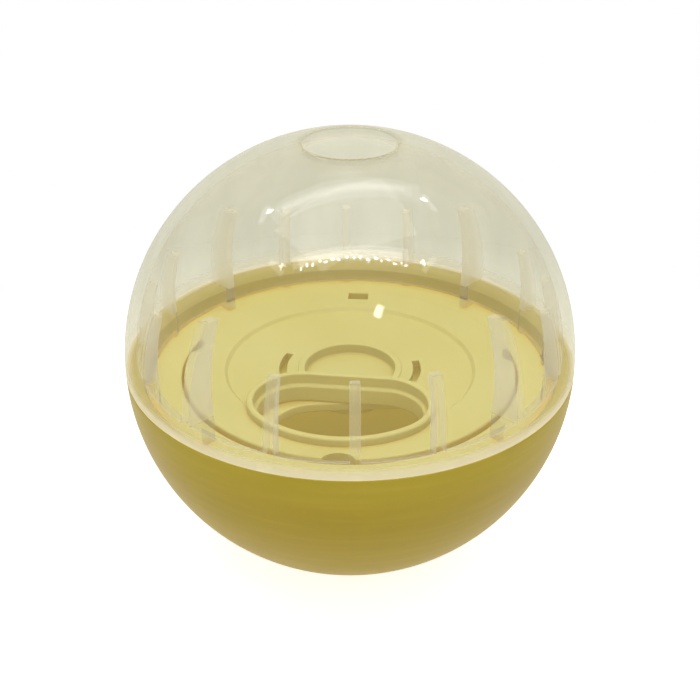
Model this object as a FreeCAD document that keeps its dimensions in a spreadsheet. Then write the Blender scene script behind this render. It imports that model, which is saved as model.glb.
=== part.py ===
import FreeCAD, Part
import math
import os
import Sketcher

# Treat ball: dry treats drop through an adjustable window in the divider and leave by the outlet.
# Frame: millimetres, origin at the centre of the ball, +Z up through the outlet hole, and -Y
# towards the side where the windows lie. The two halves meet at Z = 0.

V = FreeCAD.Vector
# the sketcher's own numbers for its axes and for the points of a line or an arc
UP_AXIS, ORIGIN = range(-2, 0)
START, END, CENTRE = range(1, 4)

doc = FreeCAD.newDocument("treat_ball")

# Driving dimensions, in millimetres and degrees. The ball is sized from the outside in: the bore
# lies within the ball, the flange within the bore, the tray and the dial within the flange, and
# the window fills the room that the dial has between its centre and its rim.
DIMENSIONS = {
    # the ball
    "ball_radius": 38.0,
    "dome_wall": 1.9,
    "shell_wall": 2.0,
    "outlet_radius": 7.5,
    "outlet_chamfer": 0.4,
    "foot_radius": 7.9,
    # where the halves meet, a neck on the dome plugs into a bore in the shell
    "lip_width": 2.7,
    "bevel_width": 1.7,
    "bevel_depth": 1.4,
    "neck_depth": 3.2,
    "neck_wall": 1.4,
    "neck_clearance": 0.2,
    "neck_chamfer": 0.4,
    "shoulder_height": 1.6,
    "shoulder_slope": 0.9,
    # upright ribs inside the dome, in alike groups of three plain ribs and a deep one
    "rib_group_count": 4,
    "rib_thickness": 1.5,
    "rib_pitch": 20.5,
    "rib_reach": 0.4,
    "deep_rib_reach": 2.9,
    "deep_rib_angle": 45.0,
    "dome_turn": 1.2,
    # ribs and keys in the shell, which carry the gate plate
    "seat_count": 8,
    "seat_thickness": 1.6,
    "seat_reach": 3.1,
    "key_count": 2,
    "key_width": 3.0,
    "key_reach": 1.3,
    "key_sink": 0.2,
    "key_clearance": 0.3,
    # gate plate
    "flange_drop": 3.4,
    "flange_thickness": 1.6,
    "flange_width": 6.1,
    "flange_clearance": 0.3,
    "tray_depth": 3.1,
    "tray_wall": 1.4,
    "floor_thickness": 1.6,
    "gate_window_margin": 0.4,
    "gate_turn": 4.0,
    # dial disc
    "dial_clearance": 0.7,
    "dial_chamfer": 0.3,
    "deck_thickness": 1.5,
    "step_inset": 7.1,
    "step_height": 0.6,
    "step_width": 0.5,
    "skirt_wall": 2.4,
    "skirt_clearance": 0.2,
    "dial_turn": -6.5,
    # dish and bead at the centre of the dial
    "dish_radius": 7.8,
    "dish_depth": 1.7,
    "dish_wall": 1.4,
    "bead_width": 1.2,
    "bead_height": 0.2,
    # D-shaped window with its straight side towards the centre, and the raised collar round it
    "window_near": 7.1,
    "window_corner_spread": 6.5,
    "window_bulge": 2.5,
    "window_rim": 4.6,
    "collar_ledge": 0.7,
    "collar_wall": 1.1,
    "collar_height": 2.0,
    # slot and notches in the edge of the dial
    "slot_angle": 93.0,
    "slot_width": 3.8,
    "slot_depth": 3.6,
    "notch_spread": 80.0,
    "notch_radius": 3.0,
    "notch_depth": 1.6,
    # arc slots beside the dish
    "arc_slot_gap": 1.95,
    "arc_slot_width": 1.3,
    "arc_slot_span": 35.0,
    "arc_slot_count": 2,
    # boss under the dial and the pin pressed into it
    "boss_radius": 4.5,
    "boss_clearance": 0.08,
    "play": 0.05,
    "socket_radius": 2.5,
    "socket_depth": 2.2,
    "pin_clearance": 0.02,
    "pin_end_gap": 0.2,
    "pin_chamfer": 0.3,
    "pin_head_radius": 6.2,
    "pin_head_height": 1.2,
    "pin_dimple_radius": 1.8,
    "pin_dimple_depth": 0.4,
}

# Radii and heights that follow from the driving dimensions
DERIVED = {
    # from the outside of the ball in to the dial
    "bore_radius": "ball_radius - lip_width",
    "flange_radius": "bore_radius - flange_clearance",
    "tray_radius": "flange_radius - flange_width",
    "dial_radius": "tray_radius - dial_clearance",
    # the window, whose bowed far side is tangent to its two round corners
    "window_far": "dial_radius - window_rim",
    "window_corner_radius": "(window_far - window_near - window_bulge) / 2",
    "window_depth": "window_near + window_corner_radius",
    "bow_rise": "(window_corner_spread ^ 2 / window_bulge - window_bulge) / 2",
    "window_bow_radius": "bow_rise + window_corner_radius + window_bulge",
    # dome
    "dome_inner": "ball_radius - dome_wall",
    "outlet_lip_radius": "outlet_radius + outlet_chamfer",
    "outlet_top": "sqrt(ball_radius ^ 2 - outlet_lip_radius ^ 2)",
    "outlet_lip": "outlet_top - outlet_chamfer",
    "outlet_under": "sqrt(dome_inner ^ 2 - outlet_radius ^ 2)",
    "shoulder_radius": "sqrt(dome_inner ^ 2 - shoulder_height ^ 2)",
    "shoulder_low": "shoulder_height - shoulder_slope",
    "neck_outer": "bore_radius - neck_clearance",
    "neck_inner": "neck_outer - neck_wall",
    "neck_tip": "neck_outer - neck_chamfer",
    "neck_end": "-neck_depth",
    "neck_lead": "neck_end + neck_chamfer",
    "dome_bevel": "neck_outer + bevel_width",
    "bevel_low": "-bevel_depth",
    # ribs, rooted half way into the wall and the neck
    "next_rib_angle": "360 / rib_group_count - rib_pitch",
    "rib_edge_radius": "neck_inner - rib_reach",
    "deep_rib_edge_radius": "neck_inner - deep_rib_reach",
    "rib_root": "ball_radius - dome_wall / 2",
    "rib_foot_root": "neck_outer - neck_wall / 2",
    "rib_side_root": "sqrt(rib_root ^ 2 - shoulder_low ^ 2)",
    "rib_top": "sqrt(rib_root ^ 2 - rib_edge_radius ^ 2)",
    "deep_rib_top": "sqrt(rib_root ^ 2 - deep_rib_edge_radius ^ 2)",
    # shell
    "shell_inner": "ball_radius - shell_wall",
    "shell_bevel": "bore_radius + bevel_width",
    "foot_low": "-sqrt(ball_radius ^ 2 - foot_radius ^ 2)",
    "foot_floor": "foot_low + shell_wall",
    "foot_floor_radius": "sqrt(shell_inner ^ 2 - foot_floor ^ 2)",
    "bore_low": "-sqrt(shell_inner ^ 2 - bore_radius ^ 2)",
    "flange_top": "-flange_drop",
    "flange_base": "flange_top - flange_thickness",
    "seat_edge": "bore_radius - seat_reach",
    "seat_root": "ball_radius - shell_wall / 2",
    "seat_side_root": "sqrt(seat_root ^ 2 - flange_base ^ 2)",
    "seat_low": "-sqrt(seat_root ^ 2 - seat_edge ^ 2)",
    "key_edge": "bore_radius - key_reach",
    "key_root": "(bore_radius + seat_side_root) / 2",
    "key_top": "flange_top - key_sink",
    # gate plate
    "tray_outer": "tray_radius + tray_wall",
    "floor_top": "flange_top - tray_depth",
    "floor_base": "floor_top - floor_thickness",
    "pivot_bore": "boss_radius + boss_clearance",
    "key_notch_inner": "key_edge - key_clearance",
    "key_notch_outer": "flange_radius + key_reach",
    "key_notch_side": "key_width / 2 + key_clearance",
    # dial disc
    "deck_base": "flange_top - deck_thickness",
    "step_radius": "dial_radius - step_inset",
    "step_outer": "step_radius + step_width",
    "rim_top": "flange_top + step_height",
    "rim_base": "deck_base + step_height",
    "rim_edge_radius": "dial_radius - dial_chamfer",
    "rim_edge": "rim_top - dial_chamfer",
    "skirt_base": "floor_top + skirt_clearance",
    "skirt_inner": "dial_radius - skirt_wall",
    "dish_floor": "flange_top - dish_depth",
    "dish_base": "floor_top + play",
    "dish_outer": "dish_radius + dish_wall",
    "bead_top": "flange_top + bead_height",
    "bead_radius": "dish_radius + bead_width",
    "boss_end": "floor_base - play",
    "socket_top": "boss_end + socket_depth",
    "collar_top": "flange_top + collar_height",
    "collar_length": "collar_top - skirt_base",
    "collar_recess": "collar_top - flange_top",
    "slot_inner": "dial_radius - slot_depth",
    "slot_outer": "dial_radius + dial_clearance",
    "slot_side": "slot_width / 2",
    "notch_ring": "dial_radius + notch_radius - notch_depth",
    "right_notch_x": "notch_ring * cos(slot_angle - notch_spread)",
    "right_notch_y": "notch_ring * sin(slot_angle - notch_spread)",
    "left_notch_x": "notch_ring * cos(slot_angle + notch_spread)",
    "left_notch_y": "notch_ring * sin(slot_angle + notch_spread)",
    "near_notch_x": "-notch_ring * cos(slot_angle)",
    "near_notch_y": "-notch_ring * sin(slot_angle)",
    "arc_slot_inner": "bead_radius + arc_slot_gap",
    "arc_slot_outer": "arc_slot_inner + arc_slot_width",
    "arc_slot_inner_x": "arc_slot_inner * cos(arc_slot_span / 2)",
    "arc_slot_inner_y": "arc_slot_inner * sin(arc_slot_span / 2)",
    "arc_slot_outer_x": "arc_slot_outer * cos(arc_slot_span / 2)",
    "arc_slot_outer_y": "arc_slot_outer * sin(arc_slot_span / 2)",
    # pivot pin
    "pin_radius": "socket_radius - pin_clearance",
    "pin_tip_radius": "pin_radius - pin_chamfer",
    "pin_tip": "socket_top - pin_end_gap",
    "pin_lead": "pin_tip - pin_chamfer",
    "pin_base": "boss_end - pin_head_height",
    "pin_rim_radius": "pin_head_radius - pin_chamfer",
    "pin_rim": "pin_base + pin_chamfer",
    "pin_dimple_top": "pin_base + pin_dimple_depth",
}

sheet = doc.addObject("Spreadsheet::Sheet", "sizes")


def fill_sheet():
    """Puts every driving dimension and every formula into the sheet, each under its alias."""
    cells = {name: str(number) for name, number in DIMENSIONS.items()}
    cells.update({name: "=" + formula for name, formula in DERIVED.items()})
    for row, name in enumerate(cells, start=1):
        sheet.set("A%d" % row, name)
        sheet.setAlias("B%d" % row, name)
    for row, text in enumerate(cells.values(), start=1):
        sheet.set("B%d" % row, text)
    doc.recompute()


def size(name):
    """The value of a named size, or of several with + and - between them. 0 stands for itself."""
    if name == 0:
        return 0.0
    total = 0.0
    sign = 1
    for word in name.split():
        if word in "+-":
            sign = 1 if word == "+" else -1
        else:
            total += sign * float(sheet.get(word))
    return total


def bind(thing, path, name):
    """Ties a property or a sketch constraint to a named size, or to a sum as size() takes it."""
    words = (word if word in "+-" else "sizes." + word for word in name.split())
    thing.setExpression(path, " ".join(words))


def new_body(name):
    body = doc.addObject("PartDesign::Body", name)
    body.Label = name
    return body


def datum(body, role):
    """One of the body's own origin planes or axes."""
    return next(f for f in body.Origin.OriginFeatures if f.Role == role)


def new_sketch(body, name, role, height="", turned="", about=V(0, 0, 1)):
    """A sketch on one of the body's origin planes, lifted to a named height and turned by a
    named angle if these are given."""
    sketch = body.newObject("Sketcher::SketchObject", name)
    sketch.AttachmentSupport = [(datum(body, role), "")]
    sketch.MapMode = "FlatFace"
    if turned:
        turn = FreeCAD.Rotation(about, size(turned))
        sketch.AttachmentOffset = FreeCAD.Placement(V(0, 0, 0), turn)
        bind(sketch, "AttachmentOffset.Rotation.Angle", turned)
    if height:
        bind(sketch, "AttachmentOffset.Base.z", height)
    return sketch


def fix(sketch, kind, name, *where):
    """Adds a constraint whose value is a named size."""
    index = sketch.addConstraint(Sketcher.Constraint(kind, *where, size(name)))
    label = "%s%d" % (kind, index)
    sketch.renameConstraint(index, label)
    bind(sketch, "Constraints." + label, name)


def place(sketch, geometry, point, x, y):
    """Places a sketch point at named coordinates, where 0 puts it on the axis."""
    if x == 0:
        sketch.addConstraint(Sketcher.Constraint("PointOnObject", geometry, point, UP_AXIS))
    else:
        fix(sketch, "DistanceX", x, ORIGIN, START, geometry, point)
    if y == 0:
        sketch.addConstraint(Sketcher.Constraint("PointOnObject", geometry, point, ORIGIN))
    else:
        fix(sketch, "DistanceY", y, ORIGIN, START, geometry, point)


def outline(sketch, points, arcs=None):
    """Closed outline through named points. arcs gives the radius of each side that is an arc
    about the sketch's origin, by the number of the point that it starts from."""
    arcs = arcs or {}
    spots = [V(size(x), size(y), 0) for x, y in points]
    first = []
    last = []
    for index, start in enumerate(spots):
        stop = spots[(index + 1) % len(spots)]
        if index in arcs:
            middle = (start + stop).normalize() * size(arcs[index])
            sketch.addGeometry(Part.Arc(start, middle, stop))
        else:
            sketch.addGeometry(Part.LineSegment(start, stop))
        # an arc is kept anticlockwise, so one that runs the other way starts at its second point
        clockwise = index in arcs and start.cross(stop).z < 0
        first.append(END if clockwise else START)
        last.append(START if clockwise else END)
    for index, (x, y) in enumerate(points):
        after = (index + 1) % len(points)
        sketch.addConstraint(
            Sketcher.Constraint("Coincident", index, last[index], after, first[after])
        )
        place(sketch, index, first[index], x, y)
    for index, radius in arcs.items():
        fix(sketch, "Radius", radius, index)


def box_outline(sketch, inner, outer, side):
    """Rectangle across the sketch's X axis, from one named distance to another."""
    low = "- " + side
    outline(sketch, [(inner, low), (outer, low), (outer, side), (inner, side)])


def circle(sketch, x, y, radius):
    ring = Part.Circle(V(size(x), size(y), 0), V(0, 0, 1), size(radius))
    index = sketch.addGeometry(ring)
    place(sketch, index, CENTRE, x, y)
    fix(sketch, "Radius", radius, index)


def window_outline(sketch, grown=""):
    """The rounded D of the window, grown outwards by the named sizes: a straight side next to
    the centre, two round corners and a bowed far side, all tangent."""
    extra = " + " + grown if grown else ""
    corner_radius = "window_corner_radius" + extra
    bow_radius = "window_bow_radius" + extra
    spread = size("window_corner_spread")
    depth = size("window_depth")
    corner = size(corner_radius)
    rise_to_bow = size("bow_rise")
    lean = math.atan2(-rise_to_bow, spread)
    quarter = math.pi / 2
    up = V(0, 0, 1)
    left = V(-spread, -depth, 0)
    right = V(spread, -depth, 0)
    middle = V(0, rise_to_bow - depth, 0)
    near = V(0, corner, 0)
    side = sketch.addGeometry(Part.LineSegment(right + near, left + near))
    west = sketch.addGeometry(
        Part.ArcOfCircle(Part.Circle(left, up, corner), quarter, math.pi - lean)
    )
    far = sketch.addGeometry(
        Part.ArcOfCircle(Part.Circle(middle, up, size(bow_radius)), -math.pi - lean, lean)
    )
    east = sketch.addGeometry(Part.ArcOfCircle(Part.Circle(right, up, corner), lean, quarter))
    for one, other in ((side, west), (west, far), (far, east), (east, side)):
        sketch.addConstraint(Sketcher.Constraint("Tangent", one, END, other, START))
    fix(sketch, "DistanceX", "window_corner_spread", ORIGIN, START, east, CENTRE)
    fix(sketch, "DistanceY", "window_depth", east, CENTRE, ORIGIN, START)
    sketch.addConstraint(Sketcher.Constraint("Symmetric", west, CENTRE, east, CENTRE, UP_AXIS))
    fix(sketch, "Radius", corner_radius, east)
    sketch.addConstraint(Sketcher.Constraint("Equal", east, west))
    fix(sketch, "Radius", bow_radius, far)


def revolve(body, sketch):
    feature = body.newObject("PartDesign::Revolution", sketch.Name + "_turned")
    feature.Profile = (sketch, [""])
    feature.ReferenceAxis = (sketch, ["V_Axis"])
    feature.Angle = 360
    return feature


def pad(body, sketch, length, symmetric=False):
    feature = body.newObject("PartDesign::Pad", sketch.Name + "_pad")
    feature.Profile = (sketch, [""])
    feature.SideType = "Symmetric" if symmetric else "One side"
    bind(feature, "Length", length)
    return feature


def cut_through(body, sketch):
    """A pocket that goes all the way through the body, both ways from its sketch."""
    feature = body.newObject("PartDesign::Pocket", sketch.Name + "_cut")
    feature.Profile = (sketch, [""])
    feature.Type = "ThroughAll"
    feature.SideType = "Symmetric"
    return feature


def cut_down(body, sketch, depth):
    """A pocket of a named depth below its sketch."""
    feature = body.newObject("PartDesign::Pocket", sketch.Name + "_cut")
    feature.Profile = (sketch, [""])
    bind(feature, "Length", depth)
    return feature


def around(body, feature, count):
    """Repeats a feature evenly around the body's Z axis, a named number of times."""
    pattern = body.newObject("PartDesign::PolarPattern", feature.Name + "_ring")
    pattern.Originals = [feature]
    pattern.Axis = (datum(body, "Z_Axis"), [""])
    pattern.Angle = 360
    bind(pattern, "Occurrences", count)
    body.Tip = pattern
    return pattern


def turn_body(body, angle):
    """Turns a finished body about the ball's axis by a named angle."""
    body.Placement = FreeCAD.Placement(V(0, 0, 0), FreeCAD.Rotation(V(0, 0, 1), size(angle)))
    bind(body, "Placement.Rotation.Angle", angle)


def make_clear_dome():
    """Clear upper half: a thin shell with the outlet hole at its top, a thick rim, a neck that
    plugs into the lower half, and upright ribs that end on the neck."""
    body = new_body("clear_dome")
    profile = new_sketch(body, "dome_profile", "XZ_Plane")
    outline(
        profile,
        [
            ("ball_radius", 0),
            ("outlet_lip_radius", "outlet_top"),
            ("outlet_radius", "outlet_lip"),
            ("outlet_radius", "outlet_under"),
            ("shoulder_radius", "shoulder_height"),
            ("neck_inner", "shoulder_low"),
            ("neck_inner", "neck_end"),
            ("neck_tip", "neck_end"),
            ("neck_outer", "neck_lead"),
            ("neck_outer", "bevel_low"),
            ("dome_bevel", 0),
        ],
        {0: "ball_radius", 3: "dome_inner"},
    )
    revolve(body, profile)
    # the deep ribs stand on the diagonals of the plan, half way between two groups
    ribs = (
        ("middle_rib", "rib", ""),
        ("left_rib", "rib", "rib_pitch"),
        ("right_rib", "rib", "next_rib_angle"),
        ("deep_rib", "deep_rib", "deep_rib_angle"),
    )
    for name, kind, turned in ribs:
        rib = new_sketch(body, name + "_profile", "XZ_Plane", turned=turned, about=V(0, 1, 0))
        outline(
            rib,
            [
                (kind + "_edge_radius", "neck_end"),
                ("rib_foot_root", "neck_end"),
                ("rib_foot_root", "shoulder_low"),
                ("rib_side_root", "shoulder_low"),
                (kind + "_edge_radius", kind + "_top"),
            ],
            {3: "rib_root"},
        )
        around(body, pad(body, rib, "rib_thickness", symmetric=True), "rib_group_count")
    turn_body(body, "dome_turn")
    return body


def make_lower_shell():
    """Lower half: a bowl with a flat foot, a bore for the neck, ribs that the gate plate's
    flange rests on and keys that stop it from turning."""
    body = new_body("lower_shell")
    profile = new_sketch(body, "shell_profile", "XZ_Plane")
    outline(
        profile,
        [
            ("ball_radius", 0),
            ("foot_radius", "foot_low"),
            (0, "foot_low"),
            (0, "foot_floor"),
            ("foot_floor_radius", "foot_floor"),
            ("bore_radius", "bore_low"),
            ("bore_radius", "bevel_low"),
            ("shell_bevel", 0),
        ],
        {0: "ball_radius", 4: "shell_inner"},
    )
    revolve(body, profile)
    seat = new_sketch(body, "seat_profile", "XZ_Plane")
    outline(
        seat,
        [
            ("seat_edge", "flange_base"),
            ("seat_side_root", "flange_base"),
            ("seat_edge", "seat_low"),
        ],
        {1: "seat_root"},
    )
    around(body, pad(body, seat, "seat_thickness", symmetric=True), "seat_count")
    key = new_sketch(body, "key_profile", "XZ_Plane")
    outline(
        key,
        [
            ("key_edge", "flange_base"),
            ("key_root", "flange_base"),
            ("key_root", "key_top"),
            ("key_edge", "key_top"),
        ],
    )
    around(body, pad(body, key, "key_width", symmetric=True), "key_count")
    turn_body(body, "gate_turn")
    return body


def make_gate_plate():
    """Fixed half of the divider: a shallow tray hung from its flange, with a D-shaped window
    in its floor, a pivot bore and two notches in the flange for the shell's keys."""
    body = new_body("gate_plate")
    profile = new_sketch(body, "gate_profile", "XZ_Plane")
    outline(
        profile,
        [
            ("flange_radius", "flange_base"),
            ("flange_radius", "flange_top"),
            ("tray_radius", "flange_top"),
            ("tray_radius", "floor_top"),
            ("pivot_bore", "floor_top"),
            ("pivot_bore", "floor_base"),
            ("tray_outer", "floor_base"),
            ("tray_outer", "flange_base"),
        ],
    )
    revolve(body, profile)
    window = new_sketch(body, "gate_window", "XY_Plane", "floor_top")
    window_outline(window, "gate_window_margin")
    cut_through(body, window)
    notch = new_sketch(body, "key_notch", "XY_Plane", "flange_top")
    box_outline(notch, "key_notch_inner", "key_notch_outer", "key_notch_side")
    around(body, cut_down(body, notch, "flange_thickness"), "key_count")
    turn_body(body, "gate_turn")
    return body


def make_dial_disc():
    """Turning half of the divider: a stepped disc with a skirt, a dish and a boss at its centre,
    and a D-shaped window in a raised collar that a fingertip pushes round."""
    body = new_body("dial_disc")
    profile = new_sketch(body, "dial_profile", "XZ_Plane")
    outline(
        profile,
        [
            (0, "dish_floor"),
            ("dish_radius", "dish_floor"),
            ("dish_radius", "bead_top"),
            ("bead_radius", "bead_top"),
            ("bead_radius", "flange_top"),
            ("step_radius", "flange_top"),
            ("step_outer", "rim_top"),
            ("rim_edge_radius", "rim_top"),
            ("dial_radius", "rim_edge"),
            ("dial_radius", "skirt_base"),
            ("skirt_inner", "skirt_base"),
            ("skirt_inner", "rim_base"),
            ("step_outer", "rim_base"),
            ("step_radius", "deck_base"),
            ("dish_outer", "deck_base"),
            ("dish_outer", "dish_base"),
            ("boss_radius", "dish_base"),
            ("boss_radius", "boss_end"),
            ("socket_radius", "boss_end"),
            ("socket_radius", "socket_top"),
            (0, "socket_top"),
        ],
    )
    revolve(body, profile)
    collar = new_sketch(body, "collar", "XY_Plane", "skirt_base")
    window_outline(collar, "collar_ledge + collar_wall")
    pad(body, collar, "collar_length")
    recess = new_sketch(body, "collar_ledge_outline", "XY_Plane", "collar_top")
    window_outline(recess, "collar_ledge")
    cut_down(body, recess, "collar_recess")
    window = new_sketch(body, "dial_window", "XY_Plane", "flange_top")
    window_outline(window)
    cut_through(body, window)
    arc_slot = new_sketch(body, "arc_slot", "XY_Plane", "flange_top")
    outline(
        arc_slot,
        [
            ("arc_slot_inner_x", "- arc_slot_inner_y"),
            ("arc_slot_outer_x", "- arc_slot_outer_y"),
            ("arc_slot_outer_x", "arc_slot_outer_y"),
            ("arc_slot_inner_x", "arc_slot_inner_y"),
        ],
        {1: "arc_slot_outer", 3: "arc_slot_inner"},
    )
    around(body, cut_through(body, arc_slot), "arc_slot_count")
    edge_slot = new_sketch(body, "edge_slot", "XY_Plane", "rim_top", turned="slot_angle")
    box_outline(edge_slot, "slot_inner", "slot_outer", "slot_side")
    cut_through(body, edge_slot)
    notches = new_sketch(body, "edge_notches", "XY_Plane", "rim_top")
    for place_name in ("right", "left", "near"):
        circle(notches, place_name + "_notch_x", place_name + "_notch_y", "notch_radius")
    cut_through(body, notches)
    turn_body(body, "dial_turn")
    return body


def make_pivot_pin():
    """Headed pin pressed up into the dial's boss, so that its head carries the gate plate."""
    body = new_body("pivot_pin")
    profile = new_sketch(body, "pin_profile", "XZ_Plane")
    outline(
        profile,
        [
            (0, "pin_tip"),
            ("pin_tip_radius", "pin_tip"),
            ("pin_radius", "pin_lead"),
            ("pin_radius", "boss_end"),
            ("pin_head_radius", "boss_end"),
            ("pin_head_radius", "pin_rim"),
            ("pin_rim_radius", "pin_base"),
            ("pin_dimple_radius", "pin_base"),
            (0, "pin_dimple_top"),
        ],
    )
    revolve(body, profile)
    return body


def check_document():
    """Stops if any object failed, any sketch is loose or any cut removed nothing."""
    for thing in doc.Objects:
        if "Invalid" in thing.State or "Error" in thing.State:
            raise RuntimeError("%s failed to build: %s" % (thing.Name, thing.State))
        if thing.TypeId == "Sketcher::SketchObject" and not thing.FullyConstrained:
            raise RuntimeError("%s is not fully constrained" % thing.Name)
        if thing.TypeId == "PartDesign::Pocket":
            if thing.Shape.Volume > thing.BaseFeature.Shape.Volume - 1e-3:
                raise RuntimeError("%s cuts nothing" % thing.Name)


def export(bodies):
    """Writes each piece to parts/NAME.step, once it is found whole."""
    os.makedirs("parts", exist_ok=True)
    for body in bodies:
        shape = body.Shape
        if shape.isNull() or not shape.isValid():
            raise RuntimeError("%s has no valid shape" % body.Label)
        if len(shape.Solids) != 1:
            raise RuntimeError("%s has %d solids, not one" % (body.Label, len(shape.Solids)))
        shape.exportStep("parts/%s.step" % body.Label)
        box = shape.BoundBox
        print(
            "%-12s volume %9.1f mm3, z %.2f to %.2f, radius %.2f"
            % (body.Label, shape.Volume, box.ZMin, box.ZMax, box.XMax)
        )


fill_sheet()
pieces = [
    make_clear_dome(),
    make_lower_shell(),
    make_gate_plate(),
    make_dial_disc(),
    make_pivot_pin(),
]
doc.recompute()
check_document()
export(pieces)
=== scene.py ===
import math

import bmesh
import bpy
from mathutils import Matrix, Vector


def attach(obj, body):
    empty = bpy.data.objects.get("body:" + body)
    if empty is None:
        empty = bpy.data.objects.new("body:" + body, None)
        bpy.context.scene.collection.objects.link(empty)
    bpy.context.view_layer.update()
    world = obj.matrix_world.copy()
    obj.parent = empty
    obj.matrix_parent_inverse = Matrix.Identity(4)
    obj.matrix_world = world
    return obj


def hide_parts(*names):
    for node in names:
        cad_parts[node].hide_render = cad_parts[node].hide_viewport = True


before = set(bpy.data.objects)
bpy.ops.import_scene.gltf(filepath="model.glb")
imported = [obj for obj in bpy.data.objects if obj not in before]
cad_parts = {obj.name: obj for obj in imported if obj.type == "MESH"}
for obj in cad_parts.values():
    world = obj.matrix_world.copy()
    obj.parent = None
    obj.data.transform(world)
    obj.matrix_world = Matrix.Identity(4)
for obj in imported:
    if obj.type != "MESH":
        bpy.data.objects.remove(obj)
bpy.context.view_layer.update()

# Treat ball. Sizes are in millimetres and degrees, as on the drawing, and become metres as each
# mesh is made. +Z points up through the outlet hole and the two halves meet at z = 0.
MM = 0.001

# Ball, foot and the plug fit at the seam
BALL_RADIUS = 38.0
DOME_WALL = 1.9
DOME_INNER = BALL_RADIUS - DOME_WALL
SHELL_WALL = 2.0
OUTLET_RADIUS = 7.5
OUTLET_CHAMFER = 0.4
FOOT_RADIUS = 7.9
FOOT_HEIGHT = -math.sqrt(BALL_RADIUS ** 2 - FOOT_RADIUS ** 2)
BORE_RADIUS = 35.3
BEVEL_WIDTH = 1.7
BEVEL_DEPTH = 1.4
NECK_DEPTH = 3.2
NECK_OUTER = 35.1
NECK_INNER = 33.7
NECK_CHAMFER = 0.4
SHOULDER_HEIGHT = 1.6
SHOULDER_LOW = 0.7
SEAM_GAP = 0.02

# Upright ribs inside the dome
RIB_GROUPS = 4
RIB_PITCH = 20.5
DEEP_RIB_ANGLE = 45.0
RIB_HALF = 0.75
RIB_EDGE = 33.3
RIB_TOP = 12.9
RIB_TOP_DEPTH = 1.9
DEEP_RIB_EDGE = 30.8
DEEP_RIB_TOP = 17.0
DEEP_RIB_TOP_DEPTH = 3.2
RIB_TOP_ROUND = 0.45
RIB_ROOT_ROUND = 0.3
RIB_EDGE_ROUND = 0.28
DOME_TURN = 1.2

# Half the width of the strip of wall that a rib and its roots take
RIB_BORDER = RIB_HALF + RIB_ROOT_ROUND + 0.05

# How milky the parts of the dome are, from 0 to 1, and how far the pale rim band reaches up
NECK_HAZE = 0.15
OUTLET_HAZE = 0.2
RIB_HAZE = 0.5
DEEP_RIB_HAZE = 0.7
RIM_BAND_TOP = 2.6
RIM_BAND_FULL = 1.0

# Seat ribs and keys of the lower half, and how far the divider is turned
SEAT_COUNT = 8
SEAT_HALF = 0.8
SEAT_EDGE = 32.2
KEY_HALF = 1.5
KEY_EDGE = 34.0
KEY_TOP = -3.6
GATE_TURN = 4.0
DIAL_TURN = -6.5

# Gate plate
FLANGE_RADIUS = 35.0
FLANGE_TOP = -3.4
FLANGE_BASE = -5.0
TRAY_RADIUS = 28.9
TRAY_OUTER = 30.3
FLOOR_TOP = -6.5
FLOOR_BASE = -8.1
PIVOT_BORE = 4.58

# Dial, from its rim in to the dish and the boss
DIAL_RADIUS = 28.5
DECK_BASE = -4.9
STEP_RADIUS = 21.1
STEP_OUTER = 21.6
RIM_TOP = -2.8
RIM_BASE = -4.3
SKIRT_INNER = 25.8
SKIRT_BASE = -6.3
DISH_RADIUS = 7.8
DISH_FLOOR = -5.1
BEAD_RADIUS = 9.0
BEAD_TOP = -3.2
DISH_OUTER = 9.2
DISH_BASE = -6.45
BOSS_RADIUS = 4.5
BOSS_END = -8.15
SOCKET_RADIUS = 2.5
SOCKET_TOP = -5.95

# Window, with its collar and the gate's window as distances outwards from its edge
WINDOW_NEAR = 7.1
CORNER_RADIUS = 7.0
CORNER_SPREAD = 6.5
BOW_RADIUS = 16.7
COLLAR_LEDGE = 0.7
COLLAR_OUTER = 1.8
COLLAR_TOP = -1.4
COLLAR_SEAT = 1.0
GATE_WINDOW_MARGIN = 0.4

# Slots and notches of the dial
SLOT_ANGLE = 93.0
SLOT_HALF = 1.9
SLOT_DEPTH = 3.6
NOTCH_SPREAD = 80.0
NOTCH_RADIUS = 3.0
NOTCH_DEPTH = 1.6
ARC_SLOT_INNER = 10.95
ARC_SLOT_OUTER = 12.25
ARC_SLOT_HALF = 17.5

# Pivot pin
PIN_RADIUS = 2.48
PIN_TIP = -6.15
PIN_HEAD_RADIUS = 6.2
PIN_BASE = -9.35
PIN_DIMPLE_RADIUS = 1.8
PIN_DIMPLE_TOP = -8.95

# Radii of the moulded edges, and how fine the meshes are
SHARP = 0
TINY_ROUND = 0.1
FINE_ROUND = 0.15
SEAM_ROUND = 0.18
SMALL_ROUND = 0.2
MIDDLE_ROUND = 0.3
WIDE_ROUND = 0.35
LEDGE_ROUND = 0.38
COLLAR_ROUND = 0.4
CUT_MARGIN = 1.0
LATHE_COLUMNS = 256
PIN_COLUMNS = 96
ROUND_STEPS = 3


# Profiles and outlines

def rounded(corners):
    """Closed outline from (x, y, radius) corners: each corner with a radius becomes an arc."""
    points = []
    count = len(corners)
    for index, (x, y, radius) in enumerate(corners):
        here = Vector((x, y))
        if radius == SHARP:
            points.append((x, y))
            continue
        before = (Vector(corners[index - 1][:2]) - here).normalized()
        after = (Vector(corners[(index + 1) % count][:2]) - here).normalized()
        half = before.angle(after) / 2
        reach = radius / math.tan(half)
        centre = here + (before + after).normalized() * (radius / math.sin(half))
        first = here + before * reach - centre
        last = here + after * reach - centre
        for step in range(ROUND_STEPS + 1):
            spoke = first.slerp(last, step / ROUND_STEPS).normalized() * radius
            points.append(tuple(centre + spoke))
    return points


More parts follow.
